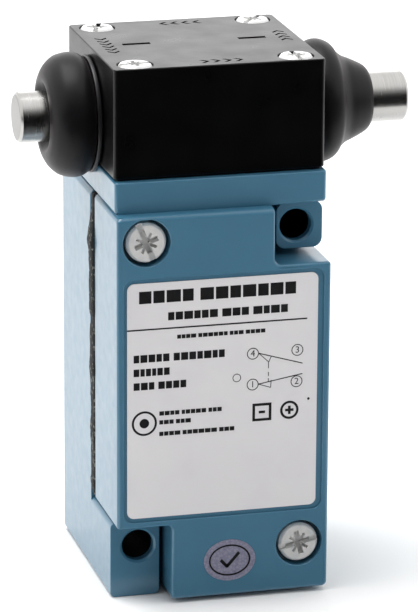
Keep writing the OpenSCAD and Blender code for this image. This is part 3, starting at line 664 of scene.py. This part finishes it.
def line_of_blocks(x0, z0, x1, height, words):
    """Plain blocks that stand for a printed line: their count and lengths follow no real words."""
    gap, space = 0.16 * height, 0.55 * height
    shares = [[random.uniform(0.7, 1.1) for _ in range(count)] for count in words]
    total = sum(map(sum, shares))
    gaps = gap * sum(count - 1 for count in words) + space * (len(words) - 1)
    unit = (x1 - x0 - gaps) / total
    blocks, x = [], x0
    for word in shares:
        for share in word:
            blocks.append(bar(x, z0, x + unit * share, z0 + height))
            x += unit * share + gap
        x += space - gap
    return blocks


def numeral(name, text, x, z, height, front):
    """A printed terminal number, centred on a point."""
    curve = bpy.data.curves.new(name, "FONT")
    curve.body = text
    curve.size = height * 1.4 * MM
    curve.align_x = "CENTER"
    curve.align_y = "CENTER"
    curve.extrude = INK_DEPTH
    made = bpy.data.objects.new(name, curve)
    bpy.context.scene.collection.objects.link(made)
    place = Matrix.Translation((x * MM, front + INK_DEPTH, z * MM))
    made.matrix_world = place @ Matrix.Rotation(math.pi / 2, 4, "X")
    bpy.context.view_layer.update()
    mesh = bpy.data.meshes.new_from_object(made.evaluated_get(bpy.context.evaluated_depsgraph_get()))
    mesh.transform(made.matrix_world)
    bpy.data.objects.remove(made)
    mesh.materials.clear()
    mesh.materials.append(INK)
    shown = bpy.data.objects.new(name, mesh)
    bpy.context.scene.collection.objects.link(shown)
    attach(shown, BODY)
    return shown


def name_plate_print():
    heading = line_of_blocks(-15.9, 58.0, 13.4, 2.3, (4, 7))
    second = line_of_blocks(-10.5, 54.6, 11.9, 1.5, (6, 3, 4))
    slabs("print_heading", heading + second, PRINT_FRONT, PRINT_BACK)
    small = line_of_blocks(-8.8, 51.0, 7.7, 0.75, (4, 6, 3, 4))
    left = line_of_blocks(-16.9, 46.9, 0.1, 1.45, (5, 7))
    left += line_of_blocks(-16.9, 44.3, -10.2, 1.4, (6,))
    left += line_of_blocks(-16.9, 41.7, -7.1, 1.4, (3, 4))
    slabs("print_lines", small + left, PRINT_FRONT, PRINT_BACK)
    slabs("print_rule", [line(-18.1, 53.1, 15.6, 53.1, 0.28)], PRINT_FRONT, PRINT_BACK)
    notes = line_of_blocks(-12.1, 36.6, -0.4, 0.8, (4, 5, 3))
    notes += line_of_blocks(-12.1, 34.9, -6.2, 0.8, (3, 3))
    notes += line_of_blocks(-12.1, 32.7, 2.0, 0.8, (4, 6, 3))
    slabs("print_notes", notes, PRINT_FRONT, PRINT_BACK)


def contact_diagram():
    """Two switching arms that move together, between four numbered terminals."""
    numbers = {"1": (5.4, 41.2), "2": (13.7, 41.2), "3": (13.8, 47.2), "4": (5.4, 47.1)}
    strokes = []
    for text, (x, z) in numbers.items():
        strokes += ring(x, z, 1.12, 0.16)
        numeral("print_number_" + text, text, x, z, 1.25, PRINT_FRONT)
    top, low = (6.5, 47.1), (6.5, 41.2)
    for (x, z), (end_x, end_z), (tip_x, tip_z), (back_x, back_z) in (
        (top, (14.8, 44.6), (8.4, 45.3), (8.9, 46.4)),
        (low, (14.8, 42.6), (8.8, 40.4), (8.9, 41.8)),
    ):
        strokes += [line(x, z, end_x, end_z, 0.18), line(x, z, tip_x, tip_z, 0.14)]
        strokes.append(line(tip_x, tip_z, back_x, back_z, 0.14))
    for z0, z1 in ((45.3, 44.1), (43.4, 42.6), (42.2, 41.6)):
        strokes.append(line(8.35, z0, 8.35, z1, 0.14))
    strokes += ring(2.4, 42.7, 0.8, 0.14)
    slabs("print_contact_diagram", strokes, PRINT_FRONT, PRINT_BACK)


def generic_marks():
    """A ring round a dot, a square round a bar and a ring round a plus."""
    marks = ring(-14.9, 35.3, 2.35, 0.4) + [disc(-14.9, 35.3, 0.9)]
    for x0, z0, x1, z1 in ((5.4, 34.1, 9.0, 34.6), (5.4, 37.0, 9.0, 37.5), (5.4, 34.6, 5.9, 37.0),
                           (8.5, 34.6, 9.0, 37.0), (6.6, 35.55, 7.8, 36.05)):
        marks.append(bar(x0, z0, x1, z1))
    marks += ring(12.4, 35.8, 1.75, 0.45)
    marks += [bar(11.6, 35.55, 13.2, 36.05), bar(12.15, 35.0, 12.65, 35.55), bar(12.15, 36.05, 12.65, 36.6)]
    marks.append(disc(16.0, 37.7, 0.25, 16))
    slabs("print_marks", marks, PRINT_FRONT, PRINT_BACK)


def sticker_print():
    """An oval ring and a plain tick."""
    x, z = (STICKER[0].x + STICKER[1].x) / 2 / MM, (STICKER[0].z + STICKER[1].z) / 2 / MM
    wide, high = (STICKER[1].x - STICKER[0].x) / 2 / MM, (STICKER[1].z - STICKER[0].z) / 2 / MM
    sides, strokes = 64, []
    inset, width = 0.95, 0.32
    for i in range(sides):
        corners = []
        for shrink, k in ((inset, i), (inset, i + 1), (inset + width, i + 1), (inset + width, i)):
            a = 2 * math.pi * k / sides
            corners.append((x + (wide - shrink) * math.cos(a), z + (high - shrink) * math.sin(a)))
        strokes.append(corners)
    strokes += [line(x - 1.7, z + 0.1, x - 0.4, z - 1.3, 0.6), line(x - 0.58, z - 1.3, x + 1.8, z + 1.4, 0.6)]
    slabs("sticker_print", strokes, STICKER[0].y - INK_DEPTH, STICKER[0].y + INK_DEPTH)


name_plate_print()
contact_diagram()
generic_marks()
sticker_print()


# ---------- gasket's squeezed edges ----------

def gasket_edge(name, side, low_z, high_z, bulge_z):
    """The gasket's edge where it squeezes out between base and housing, torn and wavy along its length."""
    steps = 150
    wander = [random.uniform(-1, 1) for _ in range(steps // 5 + 3)]
    vertices, faces = [], []
    for i in range(steps + 1):
        t = i / steps
        z = low_z + (high_z - low_z) * t
        k = t * (len(wander) - 2)
        wave = wander[int(k)] * (1 - k % 1) + wander[int(k) + 1] * (k % 1)
        bulge = math.exp(-((z - bulge_z) / (6 * MM)) ** 2)
        taper = min(1, (high_z - z) / (7 * MM), (z - low_z) / (3 * MM))
        out = 0.16 + 0.16 * wave + 0.35 * bulge + random.uniform(-0.03, 0.03)
        proud = side * (CASTING_SIDE + out * MM * taper)
        front = HOUSING_BACK - (0.12 + 0.1 * wave) * MM * taper
        spread = 0.3 + 0.3 * wave + 0.75 * bulge + random.uniform(-0.05, 0.05)
        back = BASE_FRONT + spread * MM * taper
        narrow = (1 - taper) * (BASE_FRONT - HOUSING_BACK) * 0.4
        front, back = front + narrow * 0.2, back - narrow
        root, skirt = side * (CASTING_SIDE - 1.5 * MM), side * (CASTING_SIDE - 0.03 * MM)
        vertices += [(root, HOUSING_BACK + 0.1 * MM, z), (skirt, front, z), (proud, front + 0.35 * MM, z),
                     (proud, back - 0.4 * MM, z), (skirt, back, z), (root, BASE_FRONT - 0.1 * MM, z)]
    n = 6
    for i in range(steps):
        faces += [[i * n + j, i * n + (j + 1) % n, (i + 1) * n + (j + 1) % n, (i + 1) * n + j] for j in range(n)]
    faces += [list(range(n)), [steps * n + j for j in reversed(range(n))]]
    made = piece(name, vertices, faces, FINISHES["gasket_rubber"], BODY, smooth=True)
    outward(made)
    return made


BASE_FRONT = GASKET[1].y
HOUSING_BACK = GASKET[0].y
CASTING_SIDE = BASE[1].x
gasket_edge("gasket_left_edge", -1, 15.7 * MM, GASKET[1].z, 65 * MM)
gasket_edge("gasket_right_edge", 1, 2 * MM, 62.5 * MM, 20 * MM)


# ---------- conduit thread ----------

def conduit_thread():
    """The half-inch pipe thread, cut into the entry's wall: a ridge that climbs in a helix."""
    pitch, turns, sides = 1.814, 8, 72
    wall, crest, low = 9.62, 8.95, 0.3
    vertices, faces = [], []
    for i in range(turns * sides + 1):
        a = 2 * math.pi * i / sides
        z = low + pitch * i / sides
        fade = min(1, i / sides, (turns * sides - i) / sides)
        for radius, dz in ((wall, -0.75), (wall - (wall - crest) * fade, -0.1),
                           (wall - (wall - crest) * fade, 0.1), (wall, 0.75)):
            height = max(0.02, z + 0.75 + dz * max(fade, 0.1))
            vertices.append((radius * MM * math.cos(a), radius * MM * math.sin(a), height * MM))
    for i in range(turns * sides):
        for j in range(4):
            k = (j + 1) % 4
            faces.append([i * 4 + j, i * 4 + k, (i + 1) * 4 + k, (i + 1) * 4 + j])
    faces += [[0, 1, 2, 3], [turns * sides * 4 + j for j in (3, 2, 1, 0)]]
    made = piece("conduit_thread", vertices, faces, BARE_ZINC, BODY)
    outward(made)
    return made


conduit_thread()


# ---------- studio ----------

FLOOR_REACH = 4.0
FLOOR_GAP = 0.05 * MM


def floor():
    """A wide board just under the switch."""
    r = FLOOR_REACH
    made = piece("floor", [(-r, -r, 0), (r, -r, 0), (r, r, 0), (-r, r, 0)], [[0, 1, 2, 3]],
                 matt_board("board, matt white", "#F4F4F4"), None)
    made.location.z = -FLOOR_GAP


# Y of the upright card, its height, and the two sides of the card and of its foot, in metres.
CARD_Y, CARD_TOP = -0.13, 0.13
CARD_SIDES = (-0.7, 0.5)
FOOT_SIDES = (-0.025, 0.045)
FOOT_GAP = 3 * MM


def black_card():
    """A black card, bent: it stands in front and its foot lies on the floor before the housing.

    Only reflections see it. It gives metal its dark band and keeps the floor's glare off the front.
    """
    left, right = CARD_SIDES
    foot_left, foot_right = FOOT_SIDES
    foot_y = HOUSING[0].y - FOOT_GAP
    upright = [(left, CARD_Y, 0), (right, CARD_Y, 0), (right, CARD_Y, CARD_TOP), (left, CARD_Y, CARD_TOP)]
    foot = [(foot_left, CARD_Y, 0), (foot_right, CARD_Y, 0), (foot_right, foot_y, 0), (foot_left, foot_y, 0)]
    made = piece("black_card", upright + foot, [[0, 1, 2, 3], [4, 5, 6, 7]],
                 matt_board("card, matt black", "#050505"), None)
    made.visible_camera = made.visible_diffuse = made.visible_shadow = made.visible_transmission = False


def soft_box(name, position, target, size, power):
    """A rectangular lamp, in metres and watts, turned to a point."""
    light = bpy.data.lights.new(name, "AREA")
    light.shape = "RECTANGLE"
    light.size, light.size_y = size
    light.energy = power
    made = bpy.data.objects.new(name, light)
    made.location = position
    made.rotation_euler = (Vector(target) - Vector(position)).to_track_quat("-Z", "Y").to_euler()
    bpy.context.scene.collection.objects.link(made)


DARK_SIDE = Vector((-0.3, -1, -0.12)).normalized()
TENT, GAP_IN_TENT = 1.25, 0.04


def studio_world():
    """A bright tent that is dark around the middle of the front."""
    world = bpy.data.worlds.new("studio")
    world.use_nodes = True
    bpy.context.scene.world = world
    at = add(world, "TexCoord").outputs["Generated"]
    facing = add(world, "VectorMath", {"operation": "DOT_PRODUCT", 1: DARK_SIDE}, {0: at}).outputs["Value"]
    shade = add(world, "MapRange", {"interpolation_type": "SMOOTHSTEP", "From Min": 0.25, "From Max": 0.78,
                                    "To Min": TENT, "To Max": GAP_IN_TENT}, {"Value": facing})
    background = world.node_tree.nodes["Background"]
    background.inputs["Color"].default_value = linear("#FFFFFF")
    world.node_tree.links.new(shade.outputs["Result"], background.inputs["Strength"])


CAMERA_TARGET = Vector((5.3, -1.35, 46.9)) * MM
CAMERA_DISTANCE = 0.7686
AZIMUTH, ELEVATION, ROLL = math.radians(-14.715), math.radians(16.979), math.radians(0.324)
LENS, SENSOR = 239.4, 36


def camera():
    """The view: a long lens from the front left, a little above."""
    back = Vector((math.sin(AZIMUTH) * math.cos(ELEVATION), -math.cos(AZIMUTH) * math.cos(ELEVATION),
                   math.sin(ELEVATION)))
    right = (-back).cross(Vector((0, 0, 1))).normalized()
    up = right.cross(-back)
    turned_right = right * math.cos(ROLL) + up * math.sin(ROLL)
    turned_up = up * math.cos(ROLL) - right * math.sin(ROLL)
    data = bpy.data.cameras.new("camera")
    data.sensor_width, data.lens = SENSOR, LENS
    data.clip_start, data.clip_end = 0.05, 20
    made = bpy.data.objects.new("camera", data)
    turned = Matrix((turned_right, turned_up, back)).transposed().to_4x4()
    made.matrix_world = Matrix.Translation(CAMERA_TARGET + back * CAMERA_DISTANCE) @ turned
    bpy.context.scene.collection.objects.link(made)
    bpy.context.scene.camera = made


floor()
black_card()
studio_world()
soft_box("top soft box", (-0.3, 0.15, 1.1), (0, 0, 0.05), (0.7, 0.7), 9)
soft_box("back soft box", (0.3, 1.2, 0.42), (0, 0, 0.1), (1.0, 0.5), 1.2)
camera()
bpy.context.scene.view_settings.view_transform = "Standard"
